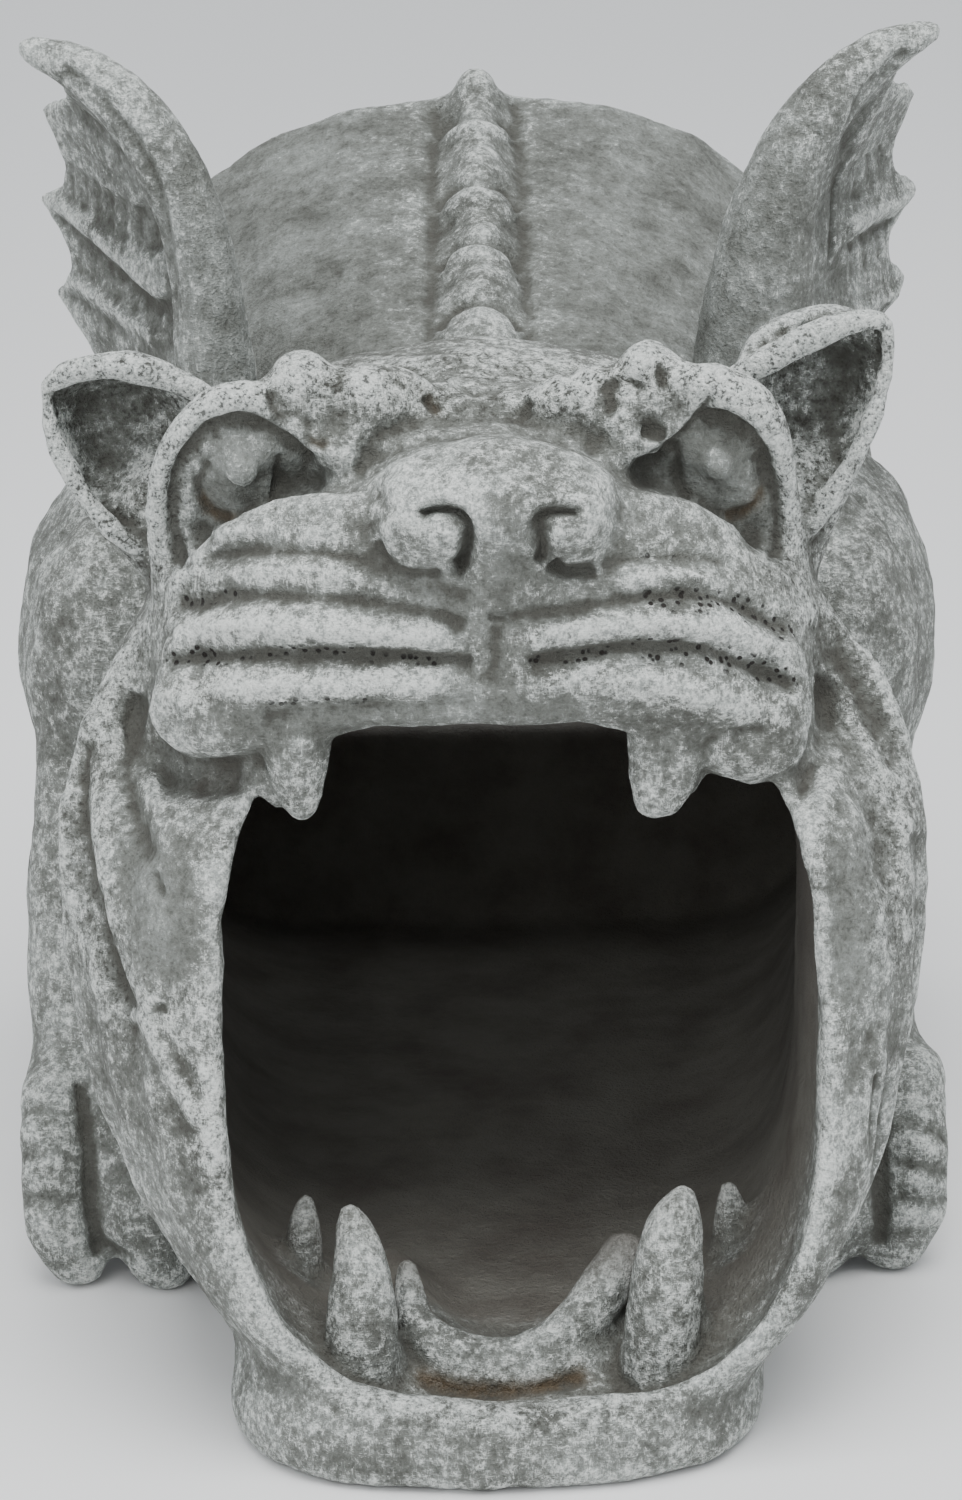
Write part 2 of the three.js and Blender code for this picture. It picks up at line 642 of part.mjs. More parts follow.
function hindLeg( side ) {

	return [
		ball( side * 86, 238, 122, [ 29.5, 48, 50 ], [ 14, 0, 0 ], 11, 7 ),
		limb( [
			[ side * 91, 212, 90, 23, LEG_FLATNESS ],
			[ side * 92, 250, 60, 23, LEG_FLATNESS ],
			[ side * 94, 281, 29, 20, LEG_FLATNESS ],
			[ side * 96, 262, 13, 15, 0.9 ],
			[ side * 98, 226, 13, 13, 1 ]
		], { across: ACROSS, steps: 6 } ),
		...[ - 1, 0, 1 ].map( ( i ) => ball( side * ( 98 + TOE_GAP * i ), 209 + 3 * abs( i ), 8, [ 7.5, 16, 9 ],
			[ 0, 0, 0 ], 6, 5 ) )
	];

}

const legs = () => bothSides( ( side ) => [ ...foreleg( side ), ...hindLeg( side ) ] );

// ---------------------------------------------------------------- casting

// Blocks that trim the casting flat along the ground and along its rear face.
const TRIM = 4 * LENGTH;

function belowGround() {

	const block = new THREE.BoxGeometry( TRIM, TRIM, TRIM );
	block.translate( 0, 0, - TRIM / 2 );
	return solid( block );

}

function behindRear() {

	const block = new THREE.BoxGeometry( TRIM, TRIM, TRIM );
	block.translate( 0, LENGTH + TRIM / 2, 0 );
	return solid( block );

}

function geometryOf( made ) {

	const { numVert, numProp, vertProperties, triVerts } = made.getMesh();
	const positions = new Float32Array( numVert * 3 );
	for ( let i = 0; i < numVert; i ++ ) {

		const [ x, y, z ] = vertProperties.subarray( i * numProp, i * numProp + 3 );
		positions.set( [ x, y - LENGTH / 2, z ], i * 3 );

	}

	const geometry = new THREE.BufferGeometry();
	geometry.setAttribute( 'position', new THREE.BufferAttribute( positions, 3 ) );
	geometry.setIndex( new THREE.BufferAttribute( triVerts, 1 ) );
	geometry.computeVertexNormals();
	return geometry;

}

const outside = joined( [ barrel(), chin(), ...skull(), spine(), ...wings(), ...legs() ] );
const face = joined( [ upperJaw(), ...nose(), ...brows(), ...eyes() ] ).subtract( joined( nostrils() ) );
const cast = joined( [ outside.subtract( hollow() ), face, ...teeth(), gum() ] )
	.subtract( inlet() )
	.subtract( belowGround() )
	.subtract( behindRear() );

const gargoyle = new THREE.Mesh( geometryOf( cast ), STONE );
gargoyle.name = 'gargoyle';

const part = new THREE.Group();
part.add( gargoyle );

export default part;
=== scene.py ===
import math

import bmesh
import bpy
import numpy as np
from mathutils import Matrix, Vector, noise


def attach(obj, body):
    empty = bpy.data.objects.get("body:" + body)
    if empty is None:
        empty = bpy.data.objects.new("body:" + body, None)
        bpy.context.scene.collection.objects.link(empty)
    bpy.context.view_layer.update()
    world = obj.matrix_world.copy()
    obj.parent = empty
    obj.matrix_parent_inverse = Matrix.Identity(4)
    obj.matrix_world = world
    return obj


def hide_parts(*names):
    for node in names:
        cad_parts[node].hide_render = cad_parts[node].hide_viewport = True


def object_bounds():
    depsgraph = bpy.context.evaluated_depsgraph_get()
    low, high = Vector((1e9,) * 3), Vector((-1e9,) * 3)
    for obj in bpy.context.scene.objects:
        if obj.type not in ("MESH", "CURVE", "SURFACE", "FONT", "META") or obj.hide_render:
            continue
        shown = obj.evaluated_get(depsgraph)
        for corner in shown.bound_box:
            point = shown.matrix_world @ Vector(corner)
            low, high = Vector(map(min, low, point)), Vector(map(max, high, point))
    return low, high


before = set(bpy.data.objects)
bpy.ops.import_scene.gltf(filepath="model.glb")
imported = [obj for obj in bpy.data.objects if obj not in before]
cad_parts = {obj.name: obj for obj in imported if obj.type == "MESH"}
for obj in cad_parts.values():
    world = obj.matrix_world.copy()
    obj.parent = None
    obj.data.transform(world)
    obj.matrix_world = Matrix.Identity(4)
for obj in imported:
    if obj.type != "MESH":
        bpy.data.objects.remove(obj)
cad_box = [list(corner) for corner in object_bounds()]


# --- The place it is seen from ---
# The statue crouches at the foot of a rainwater pipe and is met head on, from a little above.
# All the modelling is in millimetres, measured back from the front of the chin.

CHIN_FRONT = cad_box[0][1]
EYE = Vector((-5.5, -891.9, 436.6))
AIM = Vector((0, 160, 115))


def in_metres(place):
    return Vector(place) * 0.001 + Vector((0, CHIN_FRONT, 0))


camera = bpy.data.objects.new("camera", bpy.data.cameras.new("camera"))
camera.data.sensor_width = 36
camera.data.lens = 112.56
camera.matrix_world = (
    Matrix.Translation(in_metres(EYE))
    @ (AIM - EYE).to_track_quat("-Z", "Y").to_matrix().to_4x4()
    @ Matrix.Rotation(math.radians(-1), 4, "Z")
)
bpy.context.collection.objects.link(camera)
bpy.context.scene.camera = camera


# --- The casting: body, head, wings and legs in one hollow piece ---
# Cast stone, which is cement and crushed stone, from a mould taken off a hand-modelled clay
# original. The clay was smoothed with a wet thumb, so no edge on it is sharp.

CORE_SKIN = 2.0
THUMB_STROKES = 30


def read_points(mesh):
    points = np.empty(len(mesh.vertices) * 3, np.float32)
    mesh.vertices.foreach_get("co", points)
    return points.reshape(-1, 3).astype(np.float64)


def write_points(mesh, points):
    mesh.vertices.foreach_set("co", points.astype(np.float32).ravel())
    mesh.update()


def neighbours(mesh):
    edges = np.empty(len(mesh.edges) * 2, np.int32)
    mesh.edges.foreach_get("vertices", edges)
    return edges.reshape(-1, 2)


def averaged(values, edges, amount):
    """Each point's values drawn towards the middle of its neighbours' by this amount."""
    count = len(values)
    a, b = edges.T
    share = np.bincount(edges.ravel(), minlength=count)[:, None]
    around = np.stack([
        np.bincount(a, column[b], count) + np.bincount(b, column[a], count) for column in values.T
    ], 1)
    return values + amount * (around / share - values)


def thumbed(points, edges, strokes, soft=0.6, back=-0.4):
    """Smooths the clay without shrinking it."""
    for _ in range(strokes):
        points = averaged(averaged(points, edges, soft), edges, back)
    return points


def reskin(piece, size):
    """One even skin over everything that overlaps."""
    skin = piece.modifiers.new("skin", "REMESH")
    skin.mode = "VOXEL"
    skin.voxel_size = size
    whole = piece.evaluated_get(bpy.context.evaluated_depsgraph_get())
    piece.data = bpy.data.meshes.new_from_object(whole)
    piece.modifiers.clear()


gargoyle = bpy.data.objects.new("gargoyle_casting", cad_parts["gargoyle"].data.copy())
bpy.context.collection.objects.link(gargoyle)
shape = bmesh.new()
shape.from_mesh(gargoyle.data)
bmesh.ops.remove_doubles(shape, verts=shape.verts, dist=1e-6)
in_millimetres = Matrix.Scale(1000, 4) @ Matrix.Translation((0, -CHIN_FRONT, 0))
bmesh.ops.transform(shape, verts=shape.verts, matrix=in_millimetres)
shape.to_mesh(gargoyle.data)
shape.free()
reskin(gargoyle, CORE_SKIN)
write_points(gargoyle.data, thumbed(read_points(gargoyle.data), neighbours(gargoyle.data), THUMB_STROKES))


# --- Brows: hooding folds and knobbed ridges over the eyes ---
# Rolls and pellets of clay laid on the forehead and pressed together, and cast with it. The
# outer fold curls down over the temple, and two knobs stand over the inner corner.

BOARD = 40
CLAY_SKIN = 1.6
JOIN_STROKES = 2
clay = bmesh.new()


def sight(x, y, z):
    """The place at depth y that lines up, from the eye, with x, z on an upright board BOARD behind the chin."""
    return EYE + (Vector((x, BOARD, z)) - EYE) * (y - EYE.y) / (BOARD - EYE.y)


def drawn(stops, step, across=3):
    """Points about a step apart on a smooth line through the stops. The first `across` numbers are its place."""
    stops = np.array(stops, float)
    ends = np.vstack([2 * stops[0] - stops[1], stops, 2 * stops[-1] - stops[-2]])
    points = []
    for a, b, c, d in zip(ends, ends[1:], ends[2:], ends[3:]):
        count = max(1, math.ceil(np.linalg.norm((c - b)[:across]) / step))
        for t in np.arange(count) / count:
            points.append(0.5 * (
                2 * b + (c - a) * t + (2 * a - 5 * b + 4 * c - d) * t ** 2 + (3 * b - a - 3 * c + d) * t ** 3
            ))
    return np.array(points + [stops[-1]])


def pellet(x, y, z, *radii, place=sight):
    size = Matrix.Diagonal((*(radii if len(radii) == 3 else radii * 3), 1))
    bmesh.ops.create_icosphere(clay, subdivisions=2, radius=1, matrix=Matrix.Translation(place(x, y, z)) @ size)


def roll(*stops, place=sight):
    """A roll of clay through stops of x, y, z and radius."""
    for x, y, z, radius in drawn(stops, 0.3 * min(stop[3] for stop in stops) + 0.4):
        pellet(x, y, z, radius, place=place)


# left brow
roll((-63.5, 78, 187, 2.8), (-65, 76, 191, 3), (-65.6, 71, 198, 3.1), (-65.4, 68, 206, 3.3),
     (-64, 66, 212, 3.6), (-61.3, 64, 218, 3.9), (-57, 63, 223, 4.2), (-52, 63, 226.5, 4.3),
     (-47, 63.5, 227, 4.2), (-43, 64, 225, 4), (-40.5, 64, 222, 3.4))
pellet(-35.7, 66, 231, 6.7)
pellet(-34, 65, 225.5, 5.6)
pellet(-29, 67, 228, 6)
pellet(-22.5, 67, 227.5, 7)
pellet(-16, 69, 225.5, 5.4)
pellet(-12, 69, 225, 3.6)
roll((-37, 62, 221, 3), (-34.5, 60.5, 217.8, 2.8), (-31, 60, 216.5, 2.8), (-27.5, 60, 214.8, 3),
     (-24.5, 61, 217, 3.2), (-20.5, 64, 221.5, 3.4), (-14.5, 67, 224, 3))
roll((-20, 70, 232, 2.4), (-13, 70, 230, 2.4), (-9.5, 70, 226.5, 2))
# right brow
roll((63, 78, 188, 2.8), (63, 76, 193, 3), (62.3, 71, 200, 3.2), (61.8, 68, 207, 3.6), (60.6, 65, 214, 4.2),
     (58.3, 63, 220, 4.8), (53.5, 62, 225.5, 5.2), (47.5, 62.5, 227.8, 5), (43, 64, 229, 4.4),
     (40, 65, 231, 3.4))
pellet(34.5, 67, 232, 6.5)
pellet(30, 66, 226, 5.4)
pellet(36, 65, 226, 5)
pellet(23.5, 67, 227.5, 5.8)
pellet(16, 69, 225.5, 5.6)
pellet(13, 70, 224, 3.4)
roll((29, 62, 222, 3.2), (31, 60.5, 217, 2.6), (33, 60, 213.8, 2.4), (37.5, 61, 217, 2.6), (42, 63, 221.5, 3),
     (46, 64, 226, 3))
roll((25.5, 62, 219, 2.8), (28.5, 61, 214, 2.6), (30, 61, 211, 2))


# the cheeks of the muzzle, up to the corners of the eyes
roll((-61.5, 64, 187.5, 3.5), (-57, 61, 192, 4), (-50, 57.5, 197.6, 4.6), (-42, 54, 201, 4.8),
     (-33, 49.5, 202.6, 4.8), (-26, 46, 203, 4))
roll((26, 46, 203, 4), (35, 50, 201.8, 4.8), (45, 55, 198.2, 4.8), (54, 60, 192, 4.2), (60, 64, 186.5, 3.6))


def blended(size, strokes):
    """Joins the rolls and pellets laid so far to the body under one skin, and thumbs over the joins."""
    global clay, points, edges
    rolls = bpy.data.meshes.new("rolls")
    clay.to_mesh(rolls)
    clay.free()
    clay = bmesh.new()
    shape = bmesh.new()
    shape.from_mesh(gargoyle.data)
    shape.from_mesh(rolls)
    shape.to_mesh(gargoyle.data)
    shape.free()
    bpy.data.meshes.remove(rolls)
    reskin(gargoyle, size)
    edges = neighbours(gargoyle.data)
    points = thumbed(read_points(gargoyle.data), edges, strokes)
    look_again()


def look_again():
    """Writes the points back, and finds where each one lies on the board and which way it faces."""
    global normals, seen
    write_points(gargoyle.data, points)
    ways = np.empty(len(points) * 3, np.float32)
    gargoyle.data.vertex_normals.foreach_get("vector", ways)
    normals = ways.reshape(-1, 3).astype(np.float64)
    from_eye = points - np.array(EYE)
    on_board = np.array(EYE) + from_eye * ((BOARD - EYE.y) / from_eye[:, 1])[:, None]
    facing_eye = -(normals * from_eye).sum(1) / np.linalg.norm(from_eye, axis=1)
    seen = on_board[:, [0, 2]], facing_eye, points[:, 1]


def eased(t):
    t = np.clip(t, 0, 1)
    return t * t * (3 - 2 * t)


def touched(width, stops, near=-500, far=500, faded=1.5):
    """The points that a rounded tool of this width touches on its way along the stops, and how much.

    The stops are x, z on the board. Only points between `near` and `far` behind the chin are met."""
    places, facing, depth = seen
    line = drawn(stops, width / 3, across=2)
    low, high = line.min(0) - 2.5 * width, line.max(0) + 2.5 * width
    within_reach = ((places > low) & (places < high)).all(1) & (depth > near) & (depth < far)
    met = np.flatnonzero(within_reach & (facing > 0.05))
    gaps = np.linalg.norm(places[met, None] - line[None, :, :2], axis=2)
    closest = gaps.argmin(1)
    steps = np.linalg.norm(np.diff(line, axis=0), axis=1)
    way = np.concatenate([[0], np.cumsum(steps)])
    ends = eased(np.minimum(way, way[-1] - way) / (faded * width)) if faded else np.ones(len(way))
    return met, ends[closest] * eased(facing[met] / 0.3) * np.exp(-(gaps.min(1) / width) ** 2)


def stroke(lift, width, *stops, **limits):
    """Raises the clay along the line by `lift`, or presses it in where that is negative."""
    met, share = touched(width, stops, **limits)
    points[met] += normals[met] * (lift * share)[:, None]
    finish["worked"][met] += lift * share


blended(CLAY_SKIN, JOIN_STROKES)
finish = {"worked": np.zeros(len(points))}
stroke(-4, 2.6, (-60, 196), (-57, 200), (-52, 205), (-44, 208.5), (-36, 210), (-30, 210.5), near=56, far=115)
stroke(-4, 2.6, (30, 211), (36, 210), (43, 207.5), (50, 203), (56, 198), (59, 193), near=56, far=115)
stroke(-3, 2.4, (-24.5, 213.5), (-20, 219), (-12, 222.8), (-4, 224), (5, 224), (14, 222), (21, 219.5),
       (26, 214), near=45, far=115)
stroke(-3, 2.6, (-72, 166), (-72, 158), (-70, 151), (-64.5, 146), (-55, 145.5), (-49, 148), far=90)
stroke(-3, 2.6, (72, 167), (72, 158), (69.5, 147), (64, 140), (55, 138), (48, 139.5), far=90)
look_again()


# --- Eyes: balls set in lids ---
# A ball of clay pushed into each socket, with a thin roll for the lid. The iris is a low disc on
# the ball, and the pupil a small button on the disc.

pellet(-47.4, 79, 206.6, 13.8, 14, 14)
pellet(46.6, 79, 205.8, 13.6, 14, 14)
roll((-61.5, 77, 197, 2), (-62, 74, 203, 2), (-60.6, 70, 210, 1.8), (-57, 67.5, 216, 1.6),
     (-51.5, 66, 219.4, 1.4))
roll((61, 77, 196, 2), (61, 74, 202, 2), (59.6, 70, 209, 1.8), (56, 67.5, 215.4, 1.6), (51, 66, 219.4, 1.4))
pellet(-48.4, 66.4, 210.6, 8, 3, 8)
pellet(49, 66.4, 210, 7.8, 3, 8.4)
pellet(-48.4, 60.8, 212.4, 3.5, 2.4, 3.6)
pellet(48.8, 60.8, 211.8, 3.5, 2.4, 3.7)


# --- Ears: cups with a thick upper rim ---
# Each is a pinched cup of clay with a roll along its upper edge and a thinner one down its outer
# edge. The right one is taller, and its tip has been knocked off and has gone white.

roll((-87, 91, 230.8, 2), (-83, 90, 233, 2.8), (-76, 88, 234.4, 3), (-68, 87, 233.8, 3.4),
     (-60, 86, 230.6, 3), (-54, 86, 227, 2.4))
roll((-87.6, 91, 230, 1.6), (-86.8, 91, 222, 1.8), (-84, 90, 214, 2.4), (-80, 89, 206.5, 2.2),
     (-75.5, 88, 200.5, 2.4), (-71, 87, 196.5, 2))
roll((52, 86, 229.5, 2.6), (58, 86, 232.6, 3.2), (65, 87, 236.6, 3), (73, 88, 240, 3), (80, 90, 241.4, 2.2),
     (83, 91, 240, 1.6))
roll((83.4, 91, 239.5, 1.6), (82.8, 91, 231, 1.8), (80.6, 90, 222, 2.2), (77, 89, 213.4, 2),
     (72, 88, 205, 2.4), (68, 87, 198, 2))


# --- Teeth: two hanging fangs, four teeth in the lower jaw, and the gum between them ---
# Tapered plugs of clay set into the lip and behind the sill of the mouth, and a roll of clay for
# the gum, which stands up at its ends. All are blended in at the root.


def in_place(x, y, z):
    return Vector((x, y, z))


roll((-58.5, 54, 172, 8.6), (-59.4, 53, 165, 9), (-59, 52.5, 160, 9), (-52.5, 47, 159.4, 8.4),
     (-46, 45, 160.4, 7.6))
roll((59, 52, 168, 8.6), (59.6, 51, 160, 9), (58, 50, 152.6, 9.2), (51, 47, 152.4, 8))
roll((-35, 42, 158.4, 4.2), (-26, 42, 160.6, 3.8), (-16, 42, 162, 3.2))
roll((33, 42, 158.4, 4.2), (24, 42, 160.4, 3.8), (14, 42, 162, 3.2))
roll((-39.3, 44, 160, 7.8), (-39, 44, 153, 7.6), (-38.8, 44, 147.5, 6.2), (-38.4, 44, 143, 4.9),
     (-37.9, 44, 140.2, 3.4))
roll((-48.5, 48, 156, 3.6), (-47.6, 48, 150.5, 3.4), (-45.4, 47, 145.5, 2.8), (-43, 46, 141.5, 2))
roll((34.8, 44, 158, 5.4), (34.6, 43.4, 150, 5), (34.8, 43, 144, 4.8), (35.2, 43, 140.4, 4.6))
roll((41, 45, 157, 5.6), (40.6, 44.4, 151, 5.6), (39.6, 44, 145.6, 5), (37.6, 43.6, 141, 4.4))
roll((46, 48, 153, 3.4), (44.6, 47, 148, 2.6), (42, 46, 143.4, 2.4))
roll((-28.5, 30, 15, 8.6), (-28.5, 30, 24, 8.2), (-28.2, 31, 31, 7.7), (-28.4, 33, 39.5, 6.1),
     (-29.4, 35, 46, 4.2), (-30.2, 36, 50, 2.2), place=in_place)
roll((35.4, 30, 16, 9), (35.8, 30, 26, 8.4), (37, 31, 34, 8.2), (38, 32.5, 42.5, 7.2), (39.3, 34, 48, 5.6),
     (40.5, 35.5, 52, 3.4), place=in_place)
roll((-41.5, 66, 24, 4.6), (-41.5, 67, 31, 4.4), (-41.2, 68, 36, 3.4), (-40.9, 69, 39, 2.2), place=in_place)
roll((53, 66, 24, 4.8), (53, 67, 31, 4.5), (52.7, 68, 37, 3.3), (52.4, 69, 40, 2.2), place=in_place)
roll((-18.6, 47, 32, 2.4), (-18, 44, 27.6, 3.6), (-16.6, 40, 22.6, 4.6), (-12, 36.5, 18.4, 5.4),
     (-4, 34.5, 16.4, 5.4), (4, 34, 16.2, 5.4), (12, 36, 18.4, 5.6), (18.5, 39.5, 22.6, 5.8), (24, 44, 28, 6),
     (28.6, 48, 34, 5.4), place=in_place)


# --- The whole original, under one skin ---
# The rolls and pellets are blended into the body, and the joins are worked over.

FINE_SKIN = 1.0

blended(FINE_SKIN, JOIN_STROKES)
LAYERS = ("worked", "chalk", "coarse", "pitted", "rust", "wet", "inside", "calm")
finish = {name: np.zeros(len(points)) for name in LAYERS}


def rub(layer, amount, width, *stops, **limits):
    """Rubs a finish into the surface along the line, or rubs it away where the amount is negative."""
    met, share = touched(width, stops, **limits)
    finish[layer][met] = np.clip(finish[layer][met] + amount * share, -1, 1)


# --- The wrinkled muzzle ---
# Deep creases run along the upper lip, dragged in with a wire tool, and the rolls between them
# are plumped up with the thumb. Its top edge stands out in front of the eyes.

stroke(-2.2, 2, (-67, 172), (-58, 173.2), (-46, 172.8), (-31.5, 172.6), (-17, 172.2), (-6.5, 171),
       (-0.5, 170.5), far=115)
stroke(-1.7, 2, (-63.5, 183.5), (-57, 185), (-49.5, 186.2), (-37.5, 185.4), (-25, 184.4), (-17, 183),
       (-10, 181.3), (-2, 178), far=115)
stroke(-1, 1.4, (-58, 193.8), (-47, 195.5), (-35, 195), (-26, 193.6), (-21.5, 192.5), far=115)
stroke(1.9, 3, (-65.5, 178), (-50, 179.5), (-33.5, 178.6), (-17, 177), (-4.5, 175), far=115)
stroke(2, 3.6, (-67, 162), (-52, 165.5), (-33.5, 166.5), (-17, 166.5), (-4.5, 166.5), far=115)
stroke(0.9, 1.8, (-58, 190), (-45, 191), (-33, 190.6), (-22, 189), far=115)
stroke(1.1, 2.2, (-56, 199), (-44, 199.6), (-33, 199.4), (-26, 198.4), far=115)
stroke(-0.8, 1.6, (-47, 159), (-38, 161), (-20, 161.8), (-1, 161.8), far=115)
stroke(-2.2, 2, (8, 170), (20, 171.8), (27, 173.2), (35, 173), (43, 173), (50, 171), (58, 167.5), (66, 163.5),
       far=115)
stroke(-1.7, 2, (4, 180), (14, 181), (24.5, 182.6), (34, 184), (43, 184.5), (50, 183.2), (57, 180), (64, 175.5),
       far=115)
stroke(-0.9, 1.4, (24, 190.2), (32, 192), (42, 192.6), (52, 190.5), far=115)
stroke(1.9, 3, (8, 175), (20, 176.8), (34.5, 178.2), (49, 176.8), (60, 172.5), (65, 169.5), far=115)
stroke(2, 4, (5.5, 165), (20, 165.8), (34.5, 165.8), (51, 161.5), (65, 156.5), far=115)
stroke(0.9, 1.8, (28, 187), (36, 188), (45, 188), (55, 185), far=115)
stroke(-1.6, 2.2, (3, 181), (3, 176), (2.4, 170), (0.5, 164), far=115)
stroke(-1.4, 1, (1, 180.5), (3, 179.8), (6, 179.8), faded=1, far=115)
stroke(-1.2, 3, (-6, 171.5), (-2, 168), (0.5, 165), far=115)


# --- The nose ---
# Each nostril is a groove curled round its wing, deepest where it turns, and one runs on as a
# crease below the wing. The pad is a little raised all round.

stroke(-5.5, 1.5, (-12.8, 202), (-9.5, 203.4), (-5.4, 202.2), (-3.1, 199), (-2.8, 195), (-4.2, 191.4),
       (-6.5, 189.6), faded=0.8, far=115)
stroke(-1.6, 1.2, (-8, 189.5), (-12, 189.6), (-16, 190), (-20, 193), (-22.3, 196.8), faded=0.8, far=115)
stroke(-0.9, 1, (-16.5, 197), (-16.6, 194), (-14.5, 191.8), far=115)
stroke(1.3, 3.4, (-11, 199.5), (-9.5, 196), (-10, 193.5), far=115)
stroke(-3.4, 1.4, (12.4, 190.8), (12.8, 194), (12.6, 198), (12.8, 200.8), (16, 202.3), (21.5, 202.3),
       faded=0.8, far=115)
stroke(-3.6, 1.3, (14.4, 191.6), (16.6, 189.4), (20, 189.2), (24.3, 190), faded=0.8, far=115)
stroke(-0.8, 1, (10, 201), (10.2, 197.5), (11, 194), far=115)
stroke(1.3, 3.6, (19.5, 198.5), (18.5, 195.5), (19.5, 193), far=115)
stroke(-1.3, 2.4, (-23, 209.5), (-20, 204), (-23.5, 199), (-22, 192), (-16, 187.5), (-8, 186), (0, 184),
       far=115)
stroke(-0.9, 2.4, (29, 207), (30, 200), (28, 193), (24, 187.5), (14, 184.5), far=115)
stroke(1, 2, (-19.5, 211), (-14, 214), (-8, 215.6), (1, 216.2), (10, 216), (16, 215), (22, 212), far=115)
stroke(-0.8, 1.6, (-22, 214), (-14, 217), (-6, 218.6), (2, 219), (12, 218.6), (20, 216), far=115)


# --- Brow lines and eye corners ---
# A deep groove divides each brow fold from the eye, and the knobs have pinholes and creases
# where the clay didn't close.

stroke(-2.2, 1.6, (-61.4, 191), (-62.3, 198), (-62.6, 205), (-61.6, 211), (-58.8, 216.6), (-54.4, 220.8),
       (-48, 222.4), (-43, 220.8), (-38.5, 217.2), (-33.4, 212.4), near=50, far=115)
stroke(-1.6, 1.3, (-42, 229.5), (-41.5, 225), (-39.3, 221.5), near=50, far=115)
stroke(-1.4, 1.3, (-36.5, 224), (-34.5, 222), (-33.5, 220), near=50, far=115)
stroke(-1.8, 1.4, (-33.8, 218.2), (-32, 217.6), near=50, far=115, faded=0)
stroke(-2, 1.2, (-10.6, 227.5), (-9, 225.4), (-8.2, 223.5), near=50, far=115, faded=0.5)
stroke(-2, 1.5, (-21.5, 217), (-23.5, 213.5), (-26, 210.5), near=50, far=115)
stroke(-2.2, 1.6, (61.2, 191), (60.7, 198), (60.2, 205), (58.4, 211.5), (55.4, 217), (50, 221), (44.8, 221),
       near=50, far=115)
stroke(-1.8, 1.3, (32, 211), (37.5, 214), (42, 218), (45, 222), (47.6, 226.8), near=50, far=115)
stroke(-1.3, 0.9, (-40.5, 216), (-41.3, 210), (-42.6, 203.6), near=50, far=115)
stroke(-1.6, 1.1, (-55, 215), (-57.4, 209.6), (-55.6, 204.4), (-50.6, 202), near=50, far=115)
stroke(-1.3, 0.9, (40.4, 216), (40.4, 209), (43, 204), near=50, far=115)
stroke(-1.6, 1.1, (56.4, 214), (58, 207), (55.6, 202.4), (50, 200.6), near=50, far=115)
stroke(-2, 1.7, (33, 219.5), (35.5, 219), (38, 218), near=50, far=115, faded=0.4)
stroke(-1.6, 1.2, (31, 229.3), (32.8, 228.6), near=50, far=115, faded=0)
stroke(-2, 1.2, (10.5, 226.5), (9.2, 224), (10, 221.8), near=50, far=115, faded=0.5)
stroke(-1.6, 1.6, (28, 231), (26.5, 227), (28, 222), near=50, far=115)
stroke(-1.2, 1.4, (37, 234), (37, 230), (39, 227), near=50, far=115)
stroke(-1, 2.4, (-5, 231), (0, 228), (5, 231.5), near=60, far=140)


# --- Cheeks: skin drawn back round the jaws ---
# Long folds, dragged with the side of a thumb from the temple to the sill of the mouth.

stroke(-2.4, 1.9, (-82, 158), (-84.2, 148), (-84.3, 136), (-83.4, 127), (-82, 119), (-80, 110.5),
       (-77.3, 101), (-74.5, 93), faded=3, far=150)
stroke(1, 2, (-87, 146), (-87.6, 134), (-86.4, 122), (-84, 110), (-81, 98), far=150)
stroke(-1.1, 1.2, (-87, 142), (-86.6, 131), (-85.2, 121), faded=3, far=150)
stroke(1.4, 3, (-80.5, 150), (-80, 134), (-78.6, 122), (-75.5, 108), (-70.5, 94), (-66, 84), faded=3, far=150)
stroke(-2, 2.6, (-71.5, 168), (-73, 160), (-74.4, 150), (-74.2, 142), (-72, 133), (-69.6, 126),
       faded=2.5, far=150)
stroke(-1.2, 1, (-70, 127), (-68.8, 124), (-68, 120.5), faded=1, far=150)
stroke(-1.3, 2.4, (-77, 98), (-74, 88), (-70, 79), (-66, 71), (-61, 62), faded=3, far=150)
stroke(-1, 1.8, (-72, 99), (-68.4, 90), (-64.8, 81), (-61, 72), faded=3, far=150)
stroke(0.9, 2, (-74.4, 97), (-71, 87), (-67, 78), (-62.6, 68), far=150)
stroke(-1.1, 1.4, (-69.6, 97.5), (-69, 94.5), faded=0.6, far=150)
stroke(1.2, 2.4, (-66, 168), (-68.4, 158), (-69.4, 148), (-68.4, 139), far=150)
stroke(-1.8, 2.4, (72, 176), (76, 167), (80.5, 158), (84.6, 150), (86.6, 142), faded=3, far=150)
stroke(1.2, 2.2, (78, 174), (82.4, 165), (86, 154), (88, 142), (89, 130), far=150)
stroke(-1.5, 3.4, (73, 160), (76.6, 149), (79.6, 139), (82, 128), (82.4, 116), faded=2.5, far=150)
stroke(1, 2.4, (85.6, 138), (86.6, 126), (86.6, 112), (85, 98), (82, 86), far=150)
stroke(-1.4, 2.2, (68, 180), (69.4, 171), (70.6, 162), (72.2, 153), faded=2, far=150)
stroke(-1.1, 2.2, (85.6, 100), (82, 89), (78.6, 80), (73, 70), faded=3, far=150)
stroke(-1.2, 3, (74, 126), (73, 116), (74, 104), (72, 92), faded=2, far=150)
stroke(1.1, 2.6, (69, 152), (70, 140), (69, 130), (70.5, 118), (69.5, 106), (68, 92), far=150)
# the gutter inside the sill of the jaw
stroke(-2.4, 1.9, (-17, 9.4), (-9, 7.6), (2, 6.6), (12, 7.6), (21, 10), faded=2, far=50)


# --- Wings: skin stretched over ribs ---
# Each rib is a thin roll smoothed into the skin, with a groove along its lower side, and the
# skin between is pleated with the edge of a knife.

